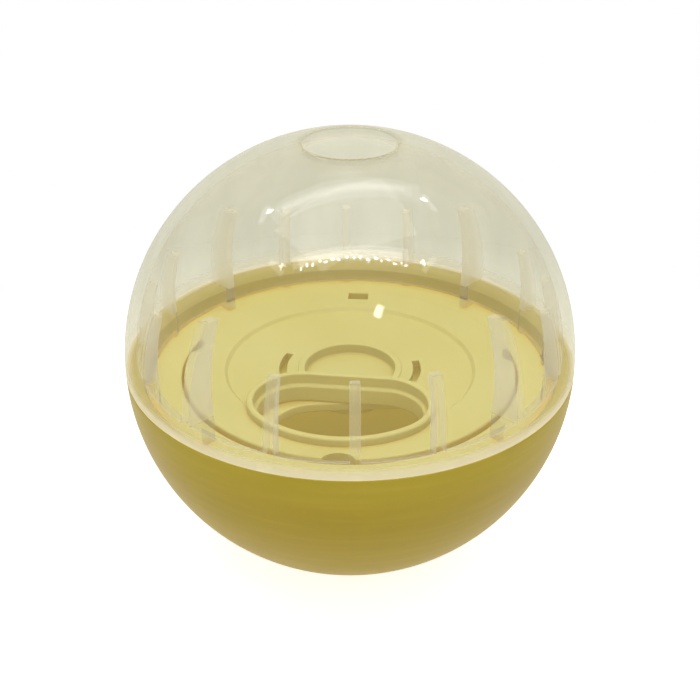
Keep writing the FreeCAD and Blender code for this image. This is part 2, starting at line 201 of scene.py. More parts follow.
def sphere_arc(radius, start_z, end_z, steps):
    """Points (r, z) along a sphere's outline between two heights, both ends left out."""
    start = math.asin(start_z / radius)
    end = math.asin(end_z / radius)
    angles = [start + (end - start) * step / steps for step in range(1, steps)]
    return [(radius * math.cos(a), radius * math.sin(a)) for a in angles]


def sharp(points):
    """Corners for an outline that are left as they are."""
    return [(x, y, SHARP) for x, y in points]


def window_outline(grown, steps=14):
    """The rounded D of the window, grown outwards, anticlockwise: its straight side lies next
    to the centre, its corners are round and its far side is bowed."""
    reach = BOW_RADIUS - CORNER_RADIUS
    rise = math.sqrt(reach ** 2 - CORNER_SPREAD ** 2)
    depth = WINDOW_NEAR + CORNER_RADIUS
    lean = math.atan2(-rise, CORNER_SPREAD)
    quarter = math.pi / 2
    arcs = (
        (CORNER_SPREAD, -depth, CORNER_RADIUS, lean, quarter, steps),
        (-CORNER_SPREAD, -depth, CORNER_RADIUS, quarter, math.pi - lean, steps),
        (0.0, rise - depth, BOW_RADIUS, math.pi - lean, 2 * math.pi + lean, 2 * steps),
    )
    points = []
    for x, y, radius, start, end, count in arcs:
        for step in range(count):
            angle = start + (end - start) * step / count
            points.append(
                (
                    x + (radius + grown) * math.cos(angle),
                    y + (radius + grown) * math.sin(angle),
                )
            )
    return points


# Meshes

def grid_mesh(rows, loop_rows=True, cap_ends=False):
    """Mesh of closed rings of points. Each row is joined to the next, and the last to the first
    if loop_rows. Rows whose points all meet on the axis close up by merging."""
    mesh = bmesh.new()
    rings = [[mesh.verts.new(Vector(point) * MM) for point in row] for row in rows]
    count = len(rows[0])
    pairs = list(zip(rings, rings[1:]))
    if loop_rows:
        pairs.append((rings[-1], rings[0]))
    for low, high in pairs:
        for index in range(count):
            after = (index + 1) % count
            mesh.faces.new((low[index], low[after], high[after], high[index]))
    if cap_ends:
        mesh.faces.new(list(reversed(rings[0])))
        mesh.faces.new(rings[-1])
    bmesh.ops.remove_doubles(mesh, verts=mesh.verts[:], dist=1e-7)
    bmesh.ops.dissolve_degenerate(mesh, edges=mesh.edges[:], dist=1e-8)
    bmesh.ops.recalc_face_normals(mesh, faces=mesh.faces[:])
    return mesh


def lathe(profile, columns=LATHE_COLUMNS):
    """Solid turned from a closed outline of (r, z) points."""
    rows = []
    for r, z in profile:
        row = []
        for column in range(columns):
            angle = 2 * math.pi * column / columns
            row.append((r * math.cos(angle), r * math.sin(angle), z))
        rows.append(row)
    return grid_mesh(rows)


def window_ring(profile):
    """Solid ring swept round the window's outline from a closed outline of (grown, z) points."""
    return grid_mesh([[(x, y, z) for x, y in window_outline(grown)] for grown, z in profile])


def prism(outline, low, high):
    """Upright solid between two heights on a plan outline."""
    return grid_mesh(
        [[(x, y, low) for x, y in outline], [(x, y, high) for x, y in outline]],
        loop_rows=False,
        cap_ends=True,
    )


def radial_plate(profile, half, angle):
    """Flat plate on an (r, z) outline, standing in the plane through the axis at an angle."""
    sides = [[(r, side, z) for r, z in profile] for side in (-half, half)]
    mesh = grid_mesh(sides, loop_rows=False, cap_ends=True)
    mesh.transform(Matrix.Rotation(math.radians(angle), 4, "Z"))
    return mesh


def make_object(name, mesh, turned=0.0):
    """Blender object from a bmesh, turned about the ball's axis."""
    mesh.transform(Matrix.Rotation(math.radians(turned), 4, "Z"))
    data = bpy.data.meshes.new(name)
    mesh.to_mesh(data)
    mesh.free()
    made = bpy.data.objects.new(name, data)
    bpy.context.scene.collection.objects.link(made)
    return made


def combine(piece, tool_mesh, operation):
    """Cuts a solid out of a piece, or joins it on, and keeps the result as the piece's mesh."""
    tool = make_object("tool", tool_mesh)
    step = piece.modifiers.new("combine", "BOOLEAN")
    step.operation = operation
    step.solver = "EXACT"
    step.object = tool
    bpy.context.view_layer.update()
    result = piece.evaluated_get(bpy.context.evaluated_depsgraph_get())
    data = bpy.data.meshes.new_from_object(result)
    piece.modifiers.clear()
    piece.data = data
    bpy.data.objects.remove(tool)


def finish_piece(piece, body, node, material, sharp_angle=34.0):
    """Smooth shading up to an angle, then the piece's material and body, and the imported node is
    hidden.
    """
    data = piece.data
    data.materials.clear()
    data.materials.append(material)
    data.shade_smooth()
    data.set_sharp_from_angle(angle=math.radians(sharp_angle))
    weighted = piece.modifiers.new("even_normals", "WEIGHTED_NORMAL")
    weighted.keep_sharp = True
    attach(piece, body)
    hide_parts(node)


# Clear dome

def rib_places():
    """Angle, edge radius at the rim, height and depth at the top of every rib, in order round
    the dome: each group has three plain ribs and a deep one."""
    plain = (RIB_EDGE, RIB_TOP, RIB_TOP_DEPTH)
    deep = (DEEP_RIB_EDGE, DEEP_RIB_TOP, DEEP_RIB_TOP_DEPTH)
    places = []
    for group in range(RIB_GROUPS):
        middle = 360.0 * group / RIB_GROUPS
        places += [(middle + side * RIB_PITCH, *plain) for side in (-1, 0, 1)]
        places.append((middle + DEEP_RIB_ANGLE, *deep))
    return places


def rib_edge(wall, height, edge, top, top_depth):
    """Radius of a rib's inner face at a height where the wall has an inner radius. Above the
    shoulder the rib thins evenly up to its blunt top, which is rounded off."""
    if height <= SHOULDER_HEIGHT:
        return edge
    foot_depth = math.sqrt(DOME_INNER ** 2 - SHOULDER_HEIGHT ** 2) - edge
    rise = min((height - SHOULDER_HEIGHT) / (top - SHOULDER_HEIGHT), 1.0)
    over = max(height - top, 0.0) / RIB_TOP_ROUND
    depth = foot_depth + (top_depth - foot_depth) * rise
    return wall - depth * math.sqrt(max(1.0 - over ** 2, 0.0))


def rib_end_rows(top):
    """Rings (r, z) of the dome's inside, from just over a rib's top down to it."""
    heights = [top + RIB_TOP_ROUND * share for share in (1.0, 0.85, 0.55, 0.25, 0.0)]
    return [(math.sqrt(DOME_INNER ** 2 - height ** 2), height) for height in heights]


def rib_section(wall, edge):
    """Plan points (x, y) across one rib: wall, root round, side, edge round, face and back.
    wall is the wall's inner radius there and edge where the rib's inner face lies."""
    depth = max(wall - edge, 0.0)
    root = min(RIB_ROOT_ROUND, depth / 2)
    nose = min(RIB_EDGE_ROUND, depth / 2)
    half = [(math.sqrt(wall ** 2 - RIB_BORDER ** 2), -RIB_BORDER)]
    for step in range(ROUND_STEPS + 1):
        angle = math.pi / 2 * step / ROUND_STEPS
        y = -(RIB_HALF + root) + root * math.sin(angle)
        half.append((math.sqrt(wall ** 2 - y ** 2) - root * (1 - math.cos(angle)), y))
    for step in range(ROUND_STEPS + 1):
        angle = math.pi / 2 * step / ROUND_STEPS
        y = -RIB_HALF + nose * (1 - math.cos(angle))
        half.append((wall - depth + nose * (1 - math.sin(angle)), y))
    return half + [(wall - depth, 0.0)] + [(x, -y) for x, y in reversed(half)]


def plain_section(radius, count):
    """Plan points across a rib's place where there is no rib, evenly spread."""
    points = []
    for index in range(count):
        y = RIB_BORDER * (2 * index / (count - 1) - 1)
        points.append((math.sqrt(radius ** 2 - y ** 2), y))
    return points


def dome_row(radius, height, ribbed, free_columns=9):
    """One ring of the dome's surface: for every rib its section, then the wall up to the next."""
    count = len(rib_section(NECK_INNER, RIB_EDGE))
    places = rib_places()
    row = []
    for index, (degrees, *rib) in enumerate(places):
        turn = math.radians(degrees)
        pitch = math.radians((places[(index + 1) % len(places)][0] - degrees) % 360.0)
        edge = rib_edge(radius, height, *rib)
        if ribbed and radius > edge + 1e-6:
            section = rib_section(radius, edge)
        else:
            section = plain_section(radius, count)
        for x, y in section:
            row.append(
                (
                    x * math.cos(turn) - y * math.sin(turn),
                    x * math.sin(turn) + y * math.cos(turn),
                    height,
                )
            )
        side = math.asin(section[-1][1] / radius)
        for step in range(1, free_columns + 1):
            angle = turn + side + (pitch - 2 * side) * step / (free_columns + 1)
            row.append((radius * math.cos(angle), radius * math.sin(angle), height))
    return row


def dome_outside():
    """Outline (r, z) of the dome from the seam up over the wall and down through the outlet
    hole, whose edges are rounded off."""
    lip = OUTLET_RADIUS + OUTLET_CHAMFER
    outlet_top = math.sqrt(BALL_RADIUS ** 2 - lip ** 2)
    outlet_under = math.sqrt(DOME_INNER ** 2 - OUTLET_RADIUS ** 2)
    inner_lip = OUTLET_RADIUS + MIDDLE_ROUND
    outline = [(BALL_RADIUS - 0.12, SEAM_GAP), (BALL_RADIUS - 0.02, SEAM_GAP + 0.12)]
    outline += sphere_arc(BALL_RADIUS, SEAM_GAP + 0.2, outlet_top, steps=46)
    outline += [
        (lip, outlet_top),
        (lip - 0.2, outlet_top - 0.06),
        (OUTLET_RADIUS + 0.05, outlet_top - 0.22),
        (OUTLET_RADIUS, outlet_top - OUTLET_CHAMFER),
        (OUTLET_RADIUS, outlet_under + 0.25),
        (OUTLET_RADIUS + 0.08, outlet_under + 0.07),
        (inner_lip, math.sqrt(DOME_INNER ** 2 - inner_lip ** 2)),
    ]
    return outline


def dome_inside(top):
    """Outline (r, z) of the dome's inside from the outlet hole's height down past the ribs'
    tops and the shoulder to the end of the neck."""
    deep_end = DEEP_RIB_TOP + RIB_TOP_ROUND
    plain_end = RIB_TOP + RIB_TOP_ROUND
    outline = sphere_arc(DOME_INNER, top, deep_end, steps=22)
    outline += rib_end_rows(DEEP_RIB_TOP)
    outline += sphere_arc(DOME_INNER, DEEP_RIB_TOP, plain_end, steps=8)
    outline += rib_end_rows(RIB_TOP)
    outline += sphere_arc(DOME_INNER, RIB_TOP, SHOULDER_HEIGHT + 0.3, steps=24)
    shoulder = math.sqrt(DOME_INNER ** 2 - SHOULDER_HEIGHT ** 2)
    outline += [
        (shoulder - 0.05, SHOULDER_HEIGHT + 0.18),
        (shoulder - 0.3, SHOULDER_HEIGHT - 0.1),
        (shoulder - 1.2, SHOULDER_HEIGHT - 0.46),
        (NECK_INNER + 0.35, SHOULDER_LOW + 0.13),
        (NECK_INNER + 0.08, SHOULDER_LOW - 0.05),
        (NECK_INNER, SHOULDER_LOW - 0.3),
        (NECK_INNER, -1.2),
        (NECK_INNER, -NECK_DEPTH),
    ]
    return outline


def make_clear_dome(material):
    """Clear upper half as one closed skin, with its ribs, thick rim and neck grown from it."""
    outside = dome_outside()
    outlet_under = outside[-1][1]
    under = [
        (NECK_INNER + NECK_CHAMFER, -NECK_DEPTH),
        (NECK_OUTER - NECK_CHAMFER, -NECK_DEPTH),
        (NECK_OUTER, -NECK_DEPTH + NECK_CHAMFER),
        (NECK_OUTER, -BEVEL_DEPTH),
        (NECK_OUTER + BEVEL_WIDTH, SEAM_GAP),
    ]
    rows = [dome_row(r, z, ribbed=False) for r, z in outside]
    rows += [dome_row(r, z, ribbed=True) for r, z in dome_inside(outlet_under)]
    rows += [dome_row(r, z, ribbed=False) for r, z in under]
    dome = make_object("Clear_Dome", grid_mesh(rows), DOME_TURN)
    add_looks(dome)
    finish_piece(dome, "dome", "clear_dome", material, sharp_angle=40.0)


def ramp(value, start, end):
    """How far a value has come from start to end, from 0 to 1."""
    return min(max((value - start) / (end - start), 0.0), 1.0)


def add_looks(dome):
    """Stores the looks of each point of the dome. haze says how milky it is: not at all on the
    wall, a little on the neck and round the outlet hole, more on the ribs, most of all towards
    the edges of the deep ones, and fully on the outside of the rim. skin is 1 on the outside,
    where the tint lies, and edge is 1 on the hole's upper edge, which bends light."""
    haze = dome.data.attributes.new("haze", "FLOAT", "POINT")
    skin = dome.data.attributes.new("skin", "FLOAT", "POINT")
    edge = dome.data.attributes.new("edge", "FLOAT", "POINT")
    for index, vertex in enumerate(dome.data.vertices):
        radius = vertex.co.length / MM
        height = vertex.co.z / MM
        across = vertex.co.xy.length / MM
        outside = ramp(radius, BALL_RADIUS - 0.6, BALL_RADIUS - 0.2)
        rim = outside * ramp(height, RIM_BAND_TOP, RIM_BAND_FULL)
        neck = NECK_HAZE if height < 2.0 else 0.0
        rib = ramp(radius, DOME_INNER - 0.02, DOME_INNER - 0.3) if height > 1.5 else 0.0
        deep = ramp(radius, DOME_INNER - 3.0, DOME_INNER - 4.5)
        rib *= RIB_HAZE + (DEEP_RIB_HAZE - RIB_HAZE) * deep
        outlet = ramp(across, OUTLET_RADIUS + 0.5, OUTLET_RADIUS + 0.1)
        haze.data[index].value = max(rim, neck, rib, OUTLET_HAZE * outlet)
        skin.data[index].value = outside
        edge.data[index].value = outside * outlet


# Lower half

def make_lower_shell(material):
    """Yellow lower half: bowl with a flat foot, bore for the neck, seat ribs and keys."""
    inner = BALL_RADIUS - SHELL_WALL
    floor = FOOT_HEIGHT + SHELL_WALL
    bore_low = -math.sqrt(inner ** 2 - BORE_RADIUS ** 2)
    corners = [(BALL_RADIUS, 0.0, SEAM_ROUND)]
    corners += sharp(sphere_arc(BALL_RADIUS, 0.0, FOOT_HEIGHT, steps=60))
    corners += sharp([(FOOT_RADIUS, FOOT_HEIGHT), (0.0, FOOT_HEIGHT), (0.0, floor)])
    corners += sharp([(math.sqrt(inner ** 2 - floor ** 2), floor)])
    corners += sharp(sphere_arc(inner, floor, bore_low, steps=48))
    corners += [(BORE_RADIUS, bore_low, SHARP), (BORE_RADIUS, -BEVEL_DEPTH, MIDDLE_ROUND)]
    corners += [(BORE_RADIUS + BEVEL_WIDTH, 0.0, FINE_ROUND)]
    shell = make_object("Lower_Half", lathe(rounded(corners)))
    root = BALL_RADIUS - SHELL_WALL / 2
    side = math.sqrt(root ** 2 - FLANGE_BASE ** 2)
    low = -math.sqrt(root ** 2 - SEAT_EDGE ** 2)
    seat = [(SEAT_EDGE, FLANGE_BASE), (SEAT_EDGE, low)]
    seat += sphere_arc(root, low, FLANGE_BASE, steps=8)
    seat += [(side, FLANGE_BASE)]
    for index in range(SEAT_COUNT):
        combine(shell, radial_plate(seat, SEAT_HALF, 360 * index / SEAT_COUNT), "UNION")
    key_root = (BORE_RADIUS + side) / 2
    key_base = FLANGE_BASE - 0.3
    key = [
        (KEY_EDGE, key_base),
        (key_root, key_base),
        (key_root, KEY_TOP),
        (KEY_EDGE, KEY_TOP),
    ]
    for angle in (0, 180):
        combine(shell, radial_plate(key, KEY_HALF, angle), "UNION")
    shell.data.transform(Matrix.Rotation(math.radians(GATE_TURN), 4, "Z"))
    finish_piece(shell, "shell", "lower_shell", material)


# Divider

def make_gate_plate(material):
    """Fixed tray of the divider, with its wide flange, window, pivot bore and key notches."""
    profile = rounded(
        [
            (FLANGE_RADIUS, FLANGE_BASE, SMALL_ROUND),
            (FLANGE_RADIUS, FLANGE_TOP, SMALL_ROUND),
            (TRAY_RADIUS, FLANGE_TOP, MIDDLE_ROUND),
            (TRAY_RADIUS, FLOOR_TOP, MIDDLE_ROUND),
            (PIVOT_BORE, FLOOR_TOP, FINE_ROUND),
            (PIVOT_BORE, FLOOR_BASE, FINE_ROUND),
            (TRAY_OUTER, FLOOR_BASE, MIDDLE_ROUND),
            (TRAY_OUTER, FLANGE_BASE, SMALL_ROUND),
        ]
    )
    plate = make_object("Gate_Plate", lathe(profile))
    flare = GATE_WINDOW_MARGIN + MIDDLE_ROUND
    nick = 0.1
    cutter = [
        (flare, FLOOR_BASE - CUT_MARGIN),
        (flare, FLOOR_BASE),
        (GATE_WINDOW_MARGIN + nick, FLOOR_BASE + nick),
        (GATE_WINDOW_MARGIN, FLOOR_BASE + MIDDLE_ROUND),
        (GATE_WINDOW_MARGIN, FLOOR_TOP - MIDDLE_ROUND),
        (GATE_WINDOW_MARGIN + nick, FLOOR_TOP - nick),
        (flare, FLOOR_TOP),
        (flare, FLOOR_TOP + CUT_MARGIN),
    ]
    rows = [[(x, y, z) for x, y in window_outline(grown)] for grown, z in cutter]
    combine(plate, grid_mesh(rows, loop_rows=False, cap_ends=True), "DIFFERENCE")
    key_room = 0.3
    notch_inner = KEY_EDGE - key_room
    notch_outer = FLANGE_RADIUS + 1.3
    notch_half = KEY_HALF + key_room
    for side in (-1, 1):
        box = [
            (side * notch_inner, -side * notch_half),
            (side * notch_outer, -side * notch_half),
            (side * notch_outer, side * notch_half),
            (side * notch_inner, side * notch_half),
        ]
        notch = prism(box, FLANGE_BASE - CUT_MARGIN / 2, FLANGE_TOP + CUT_MARGIN / 2)
        combine(plate, notch, "DIFFERENCE")
    plate.data.transform(Matrix.Rotation(math.radians(GATE_TURN), 4, "Z"))
    finish_piece(plate, "gate", "gate_plate", material)


def arc_slot_outline(middle, steps=10):
    """Plan outline of one of the slots that curve round the dish."""
    angles = [
        math.radians(middle - ARC_SLOT_HALF + 2 * ARC_SLOT_HALF * step / steps)
        for step in range(steps + 1)
    ]
    outer = [(ARC_SLOT_OUTER * math.cos(a), ARC_SLOT_OUTER * math.sin(a)) for a in angles]
    inner = [(ARC_SLOT_INNER * math.cos(a), ARC_SLOT_INNER * math.sin(a)) for a in angles]
    return outer + inner[::-1]


def disc_outline(x, y, radius, steps=40):
    """Plan outline of a round cutter."""
    angles = [2 * math.pi * step / steps for step in range(steps)]
    return [(x + radius * math.cos(a), y + radius * math.sin(a)) for a in angles]


def make_dial_disc(material):
    """Turning disc with its stepped deck, skirt, dish, collared window, slots and notches."""
    profile = rounded(
        [
            (0.0, DISH_FLOOR, SHARP),
            (DISH_RADIUS, DISH_FLOOR, WIDE_ROUND),
            (DISH_RADIUS, BEAD_TOP, SMALL_ROUND),
            (BEAD_RADIUS, BEAD_TOP, FINE_ROUND),
            (BEAD_RADIUS, FLANGE_TOP, SHARP),
            (STEP_RADIUS, FLANGE_TOP, MIDDLE_ROUND),
            (STEP_OUTER, RIM_TOP, SMALL_ROUND),
            (DIAL_RADIUS, RIM_TOP, WIDE_ROUND),
            (DIAL_RADIUS, SKIRT_BASE, SMALL_ROUND),
            (SKIRT_INNER, SKIRT_BASE, SMALL_ROUND),
            (SKIRT_INNER, RIM_BASE, SMALL_ROUND),
            (STEP_OUTER, RIM_BASE, SHARP),
            (STEP_RADIUS, DECK_BASE, SHARP),
            (DISH_OUTER, DECK_BASE, SHARP),
            (DISH_OUTER, DISH_BASE, SMALL_ROUND),
            (BOSS_RADIUS, DISH_BASE, SHARP),
            (BOSS_RADIUS, BOSS_END, TINY_ROUND),
            (SOCKET_RADIUS, BOSS_END, TINY_ROUND),
            (SOCKET_RADIUS, SOCKET_TOP, SHARP),
            (0.0, SOCKET_TOP, SHARP),
        ]
    )
    dial = make_object("Dial_Disc", lathe(profile))
    opening = prism(window_outline(COLLAR_SEAT), BOSS_END - CUT_MARGIN, CUT_MARGIN)
    combine(dial, opening, "DIFFERENCE")
    collar = rounded(
        [
            (COLLAR_OUTER, SKIRT_BASE, FINE_ROUND),
            (COLLAR_OUTER, COLLAR_TOP, COLLAR_ROUND),
            (COLLAR_LEDGE, COLLAR_TOP, MIDDLE_ROUND),
            (COLLAR_LEDGE, FLANGE_TOP, MIDDLE_ROUND),
            (0.0, FLANGE_TOP, LEDGE_ROUND),
            (0.0, SKIRT_BASE, SMALL_ROUND),
        ]
    )
    combine(dial, window_ring(collar), "UNION")
    for middle in (0, 180):
        combine(dial, prism(arc_slot_outline(middle), BOSS_END, 0.0), "DIFFERENCE")
    slot_inner = DIAL_RADIUS - SLOT_DEPTH
    slot_outer = DIAL_RADIUS + CUT_MARGIN
    box = [
        (slot_inner, -SLOT_HALF),
        (slot_outer, -SLOT_HALF),
        (slot_outer, SLOT_HALF),
        (slot_inner, SLOT_HALF),
    ]
    slot = prism(box, SKIRT_BASE - CUT_MARGIN, 0.0)
    slot.transform(Matrix.Rotation(math.radians(SLOT_ANGLE), 4, "Z"))
    combine(dial, slot, "DIFFERENCE")
    ring = DIAL_RADIUS + NOTCH_RADIUS - NOTCH_DEPTH
    for angle in (SLOT_ANGLE - NOTCH_SPREAD, SLOT_ANGLE + NOTCH_SPREAD, SLOT_ANGLE + 180):
        x = ring * math.cos(math.radians(angle))
        y = ring * math.sin(math.radians(angle))
        notch = prism(disc_outline(x, y, NOTCH_RADIUS), SKIRT_BASE - CUT_MARGIN, 0.0)
        combine(dial, notch, "DIFFERENCE")
    dial.data.transform(Matrix.Rotation(math.radians(DIAL_TURN), 4, "Z"))
    finish_piece(dial, "dial", "dial_disc", material)


def make_pivot_pin(material):
    """Headed pin pressed into the dial's boss from below."""
    profile = rounded(
        [
            (0.0, PIN_TIP, SHARP),
            (PIN_RADIUS, PIN_TIP, MIDDLE_ROUND),
            (PIN_RADIUS, BOSS_END, SHARP),
            (PIN_HEAD_RADIUS, BOSS_END, TINY_ROUND),
            (PIN_HEAD_RADIUS, PIN_BASE, WIDE_ROUND),
            (PIN_DIMPLE_RADIUS, PIN_BASE, TINY_ROUND),
            (0.0, PIN_DIMPLE_TOP, SHARP),
        ]
    )
    pin = make_object("Pivot_Pin", lathe(profile, PIN_COLUMNS))
    finish_piece(pin, "dial", "pivot_pin", material)


# Materials. First the colours as they show on a screen, from 0 to 255
YELLOW_DARK = (113, 106, 30)
YELLOW_LIGHT = (120, 114, 37)
YELLOW_STREAK = (186, 174, 76)
YELLOW_SOAKED = (170, 154, 70)
PALE_DARK = (203, 194, 117)
PALE_LIGHT = (209, 201, 129)
# Painted shade: the deeper yellow that the divider's crevices are darkened to
PALE_PAINTED_SHADE = (210, 182, 82)
PALE_SOAKED = (128, 116, 50)
MILK = (193, 187, 166)

# Linear colours of paper and of light that passes through
WHITE = (1.0, 1.0, 1.0, 1.0)
PAPER_DARK = (0.8, 0.8, 0.8, 1.0)
PAPER_LIGHT = (0.82, 0.82, 0.82, 1.0)
YELLOW_VEIL = (0.97, 0.88, 0.42, 1.0)
PALE_VEIL = (0.95, 0.88, 0.5, 1.0)
ENTRY_TINT = (0.93, 0.93, 0.90, 1.0)
SMEAR_DEEP = (0.70, 0.694, 0.555, 1.0)
SMEAR_LIGHT = (0.765, 0.757, 0.612, 1.0)
EDGE_TINT = (0.7, 0.7, 0.65, 1.0)
INSIDE_VEIL = (0.96, 0.96, 0.94, 1.0)

# Ranges and strengths, with lengths on a surface in metres
FULL = (0.0, 1.0)
CLOUD_RANGE = (0.3, 0.7)
PLASTIC_IOR = 1.49
EDGE_SOFTENING = 0.00015
# How far the divider's painted crevice shade reaches, in metres
PAINTED_SHADE_REACH = 0.0014
VEIL_SHARE = 0.75
FLOOR_LIFT = 0.74
SHADOW_REACH = (0.05, 0.14)
SOFT_LIGHT = 0.54


def linear(colour):
    """Linear colour from a screen colour, by the standard screen curve."""
    channels = []
    for level in colour:
        share = level / 255
        if share <= 0.04045:
            channels.append(share / 12.92)
        else:
            channels.append(((share + 0.055) / 1.055) ** 2.4)
    return (*channels, 1.0)


class Nodes:
    """Short ways to add and join the nodes of one material, or of the world."""

    def __init__(self, holder, output="ShaderNodeOutputMaterial"):
        self.holder = holder
        self.holder.use_nodes = True
        self.tree = self.holder.node_tree
        self.tree.nodes.clear()
        self.output = self.tree.nodes.new(output)

    def add(self, kind, inputs=None, **settings):
        """New node with its settings made and each input linked, or set on its own socket."""
        node = self.tree.nodes.new(kind)
        for name, value in settings.items():
            setattr(node, name, value)
        for socket, value in (inputs or {}).items():
            if isinstance(value, bpy.types.NodeSocket):
                self.tree.links.new(value, node.inputs[socket])
            else:
                node.inputs[socket].default_value = value
        return node

    def surface(self, shader):
        """Joins the last shader to the output, and gives back the material or world."""
        self.tree.links.new(shader, self.output.inputs["Surface"])
        return self.holder

    def place(self):
        """Place on the object, in metres."""
        return self.add("ShaderNodeTexCoord").outputs["Object"]

    def stored(self, name):
        """Value that add_looks has stored at the points."""
        return self.add("ShaderNodeAttribute", attribute_name=name).outputs["Fac"]

    def stretched(self, place, x, y, z):
        """Place scaled along each axis, so that a noise is drawn out where the scale is low."""
        inputs = {"Vector": place, "Scale": (x, y, z)}
        return self.add("ShaderNodeMapping", inputs).outputs["Vector"]

    def noise(self, place, scale=1.0, detail=3.0, roughness=0.5):
        """Clouds from 0 to 1."""
        inputs = {"Vector": place, "Scale": scale, "Detail": detail, "Roughness": roughness}
        return self.add("ShaderNodeTexNoise", inputs).outputs["Fac"]

    def span(self, value, old, new):
        """Carries a value over from one range to another, and holds it inside."""
        inputs = {
            "Value": value,
            "From Min": old[0],
            "From Max": old[1],
            "To Min": new[0],
            "To Max": new[1],
        }
        return self.add("ShaderNodeMapRange", inputs).outputs["Result"]

    def math(self, operation, first, second):
        inputs = {0: first, 1: second}
        return self.add("ShaderNodeMath", inputs, operation=operation).outputs[0]

    def mix_colour(self, share, first, second):
        """Colour that turns from the first to the second as share rises."""
        inputs = {0: share, 6: first, 7: second}
        return self.add("ShaderNodeMix", inputs, data_type="RGBA").outputs[2]

    def mix_shader(self, share, first, second):
        """Shader that turns from the first to the second as share rises."""
        inputs = {"Fac": share, 1: first, 2: second}
        return self.add("ShaderNodeMixShader", inputs).outputs["Shader"]

    def add_shaders(self, first, second):
        return self.add("ShaderNodeAddShader", {0: first, 1: second}).outputs["Shader"]

    def bump(self, height, strength, distance, normal=None):
        """Normal of a fine relief, on top of an earlier normal if there is one."""
        inputs = {"Height": height, "Strength": strength, "Distance": distance}
        if normal is not None:
            inputs["Normal"] = normal
        return self.add("ShaderNodeBump", inputs).outputs["Normal"]

    def looked_at(self, path):
        """1 for light that shows a surface to the eye: straight, mirrored or through glass."""
        looked = self.math("MAXIMUM", path["Is Camera Ray"], path["Is Glossy Ray"])
        return self.math("MAXIMUM", looked, path["Is Transmission Ray"])


def soft_normal(nodes, grain, strength, depth):
    """Normal that softens the edges and carries a fine grain."""
    soft = nodes.add("ShaderNodeBevel", {"Radius": EDGE_SOFTENING}, samples=4).outputs["Normal"]
    return nodes.bump(grain, strength, depth, soft)


def satin(nodes, colour, roughness, normal, specular):
    """Moulded plastic with a satin finish."""
    inputs = {
        "Base Color": colour,
        "Roughness": roughness,
        "Normal": normal,
        "IOR": PLASTIC_IOR,
        "Specular IOR Level": specular,
    }
    return nodes.add("ShaderNodeBsdfPrincipled", inputs).outputs["BSDF"]


def glowing(nodes, shader, soaked_colour, veil):
    """Adds the light that soaks through a thin coloured wall, and lets some of the light on its
    way to other surfaces straight through, tinted, so that a closed chamber isn't black."""
    soaked = nodes.add("ShaderNodeBsdfTranslucent", {"Color": linear(soaked_colour)})
    body = nodes.add_shaders(shader, soaked.outputs["BSDF"])
    path = nodes.add("ShaderNodeLightPath").outputs
    share = nodes.math("MULTIPLY", path["Is Diffuse Ray"], VEIL_SHARE)
    tinted = nodes.add("ShaderNodeBsdfTransparent", {"Color": veil}).outputs["BSDF"]
    return nodes.mix_shader(share, body, tinted)


def make_yellow_plastic():
    """Satin olive yellow of the lower half, with faint flow clouds and a fine moulded grain."""
    nodes = Nodes(bpy.data.materials.new("Yellow_Plastic"))
    place = nodes.place()
    clouds = nodes.noise(place, scale=28.0, detail=4.0, roughness=0.6)
    grain = nodes.noise(place, scale=2600.0, detail=2.0)
    streaks = nodes.noise(nodes.stretched(place, 60.0, 60.0, 900.0))
    share = nodes.span(clouds, CLOUD_RANGE, FULL)
    colour = nodes.mix_colour(share, linear(YELLOW_DARK), linear(YELLOW_LIGHT))
    lighter = nodes.span(streaks, (0.45, 0.8), (0.0, 0.12))
    colour = nodes.mix_colour(lighter, colour, linear(YELLOW_STREAK))
    roughness = nodes.span(clouds, CLOUD_RANGE, (0.42, 0.52))
    normal = soft_normal(nodes, grain, strength=0.12, depth=0.00006)
    shader = satin(nodes, colour, roughness, normal, specular=0.16)
    return nodes.surface(glowing(nodes, shader, YELLOW_SOAKED, YELLOW_VEIL))


def make_pale_plastic():
    """Pale yellow of the divider with fine scuffs, and painted shade that darkens it in the
    crevices.
    A little light passes through it."""
    nodes = Nodes(bpy.data.materials.new("Pale_Yellow_Plastic"))
    place = nodes.place()
    clouds = nodes.noise(place, scale=45.0, detail=4.0, roughness=0.6)
    grain = nodes.noise(place, scale=3000.0, detail=2.0)
    scuffs = nodes.noise(nodes.stretched(place, 1400.0, 160.0, 160.0), detail=2.0)
    share = nodes.span(clouds, CLOUD_RANGE, FULL)
    colour = nodes.mix_colour(share, linear(PALE_DARK), linear(PALE_LIGHT))
    # Painted shade: ambient occlusion darkens the colour to a deeper yellow in crevices and
    # between parts
    painted_shade_ao = nodes.add("ShaderNodeAmbientOcclusion", {"Distance": PAINTED_SHADE_REACH}, samples=8)
    unshaded_share = nodes.span(painted_shade_ao.outputs["AO"], (0.15, 0.85), FULL)
    colour = nodes.mix_colour(unshaded_share, linear(PALE_PAINTED_SHADE), colour)
    roughness = nodes.span(scuffs, (0.4, 0.75), (0.34, 0.46))
    normal = soft_normal(nodes, grain, strength=0.1, depth=0.00005)
    shader = satin(nodes, colour, roughness, normal, specular=0.35)
    return nodes.surface(glowing(nodes, shader, PALE_SOAKED, PALE_VEIL))


